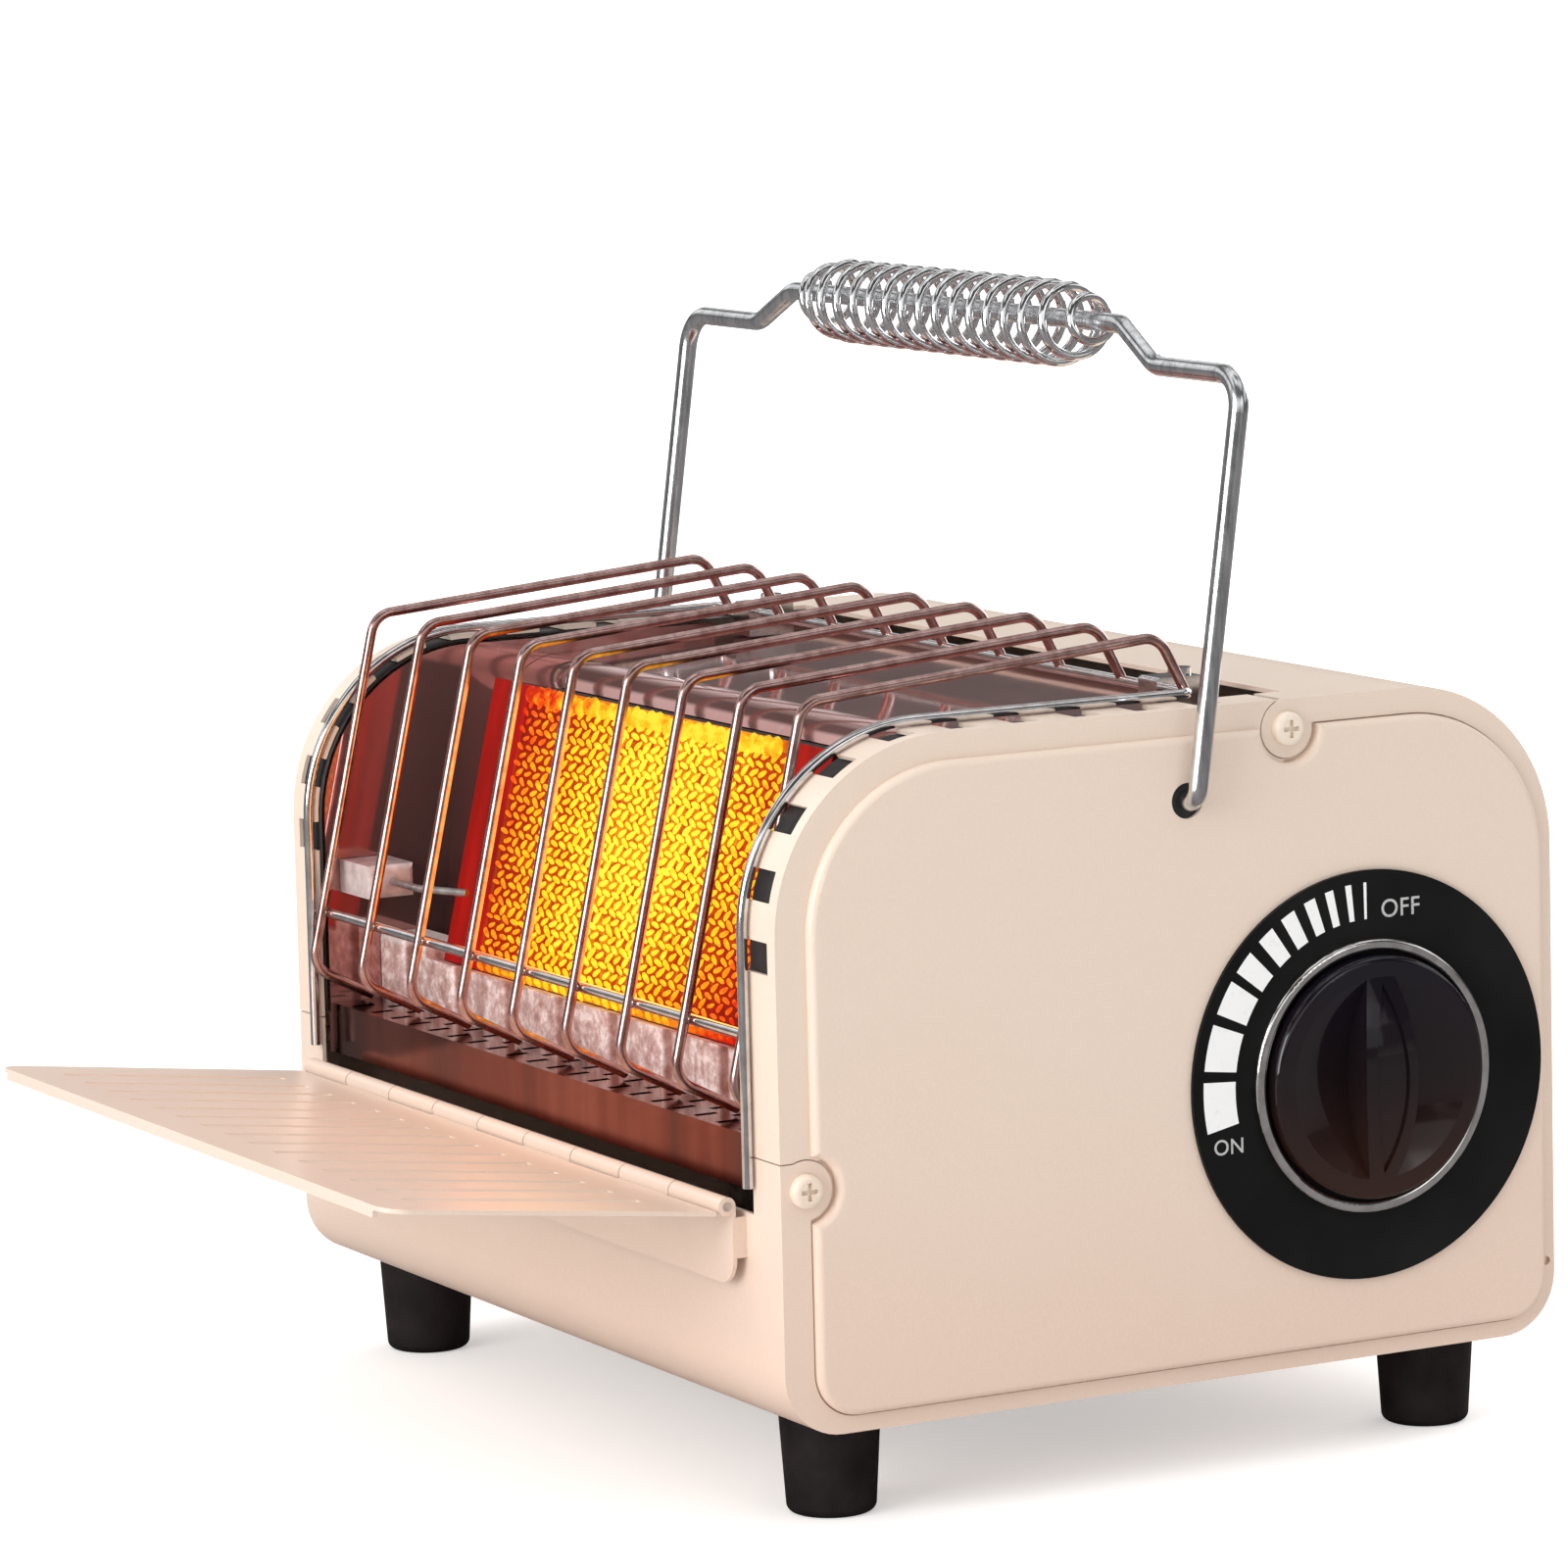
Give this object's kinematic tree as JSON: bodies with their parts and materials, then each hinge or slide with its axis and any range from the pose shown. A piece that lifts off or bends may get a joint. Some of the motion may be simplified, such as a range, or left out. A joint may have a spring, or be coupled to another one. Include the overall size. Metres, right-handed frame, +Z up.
{
  "type": "portable propane heater",
  "caption": "Tabletop gas heater: cream steel casing on rubber feet, wire guard over a tilted ceramic burner, fold-up front flap, rear door, control knob and swinging wire handle.",
  "frame": {"origin": "on the floor that the feet stand on, under the middle of the whole heater's box", "axes": "+Z up, -Y the way the burner faces, +X the end with the knob"},
  "size_m": [0.267, 0.2864, 0.2636],
  "materials": {
    "enamel": "satin cream enamel",
    "enamel_screw": "satin cream enamel",
    "steel": "plain zinc plated",
    "chrome": "bright plated wire",
    "reflector": "polished steel reflector",
    "cast": "cast, matt",
    "brass": "plain",
    "ceramic_tile": "porous ceramic, glowing",
    "porcelain": "glazed",
    "rubber": "matt black",
    "black_plastic": "matt black",
    "dial_black": "satin black with white marks",
    "knob_plastic": "gloss black brown",
    "lead_cover": "silicone lead"
  },
  "bodies": {
    "body": {"casing": "enamel", "end_cap_left": "enamel", "end_cap_right": "enamel", "door_pin": "steel", "door_catch": "black_plastic", "foot_front_left": "rubber", "foot_front_right": "rubber", "foot_rear_left": "rubber", "foot_rear_right": "rubber", "foot_screws": "steel", "end_screws": "enamel_screw", "wire_guard": "chrome", "guard_frame": "chrome", "guard_clips": "steel", "burner_pan": "reflector", "reflector_hood": "reflector", "reflector_side_left": "reflector", "reflector_side_right": "reflector", "heat_shield": "steel", "burner_tile": "ceramic_tile", "burner_housing": "cast", "burner_support": "cast", "mixing_tube": "steel", "injector": "brass", "gas_pipe": "brass", "valve_body": "brass", "canister_magnet": "steel", "canister_cradle": "steel", "igniter_block": "black_plastic", "electrode_insulator": "porcelain", "electrode": "steel", "ignition_lead": "lead_cover", "dial_plate": "dial_black", "dial_ring": "chrome", "flap_leaf": "enamel", "flap_pin": "steel"},
    "handle": {"handle": "chrome", "handle_grip": "chrome", "handle_washers": "steel"},
    "knob": {"knob": "knob_plastic", "valve_spindle": "steel"},
    "flap": {"front_flap": "enamel"},
    "door": {"canister_door": "enamel"}
  },
  "joints": [
    {"name": "handle_swing", "type": "hinge", "parent": "body", "child": "handle", "pos_m": [-0.00231, 0.04592, 0.1529], "axis": [1, 0, 0], "range_deg": [-77, 80]},
    {"name": "knob_turn", "type": "hinge", "parent": "body", "child": "knob", "pos_m": [0.12269, 0.09182, 0.087], "axis": [1, 0, 0], "range_deg": [0, 105]},
    {"name": "flap_fold", "type": "hinge", "parent": "body", "child": "flap", "pos_m": [-0.00231, -0.06138, 0.0716], "axis": [-1, 0, 0], "range_deg": [0, 83]},
    {"name": "door_open", "type": "hinge", "parent": "body", "child": "door", "pos_m": [-0.00231, 0.14112, 0.0382], "axis": [-1, 0, 0], "range_deg": [0, 90]}
  ]
}
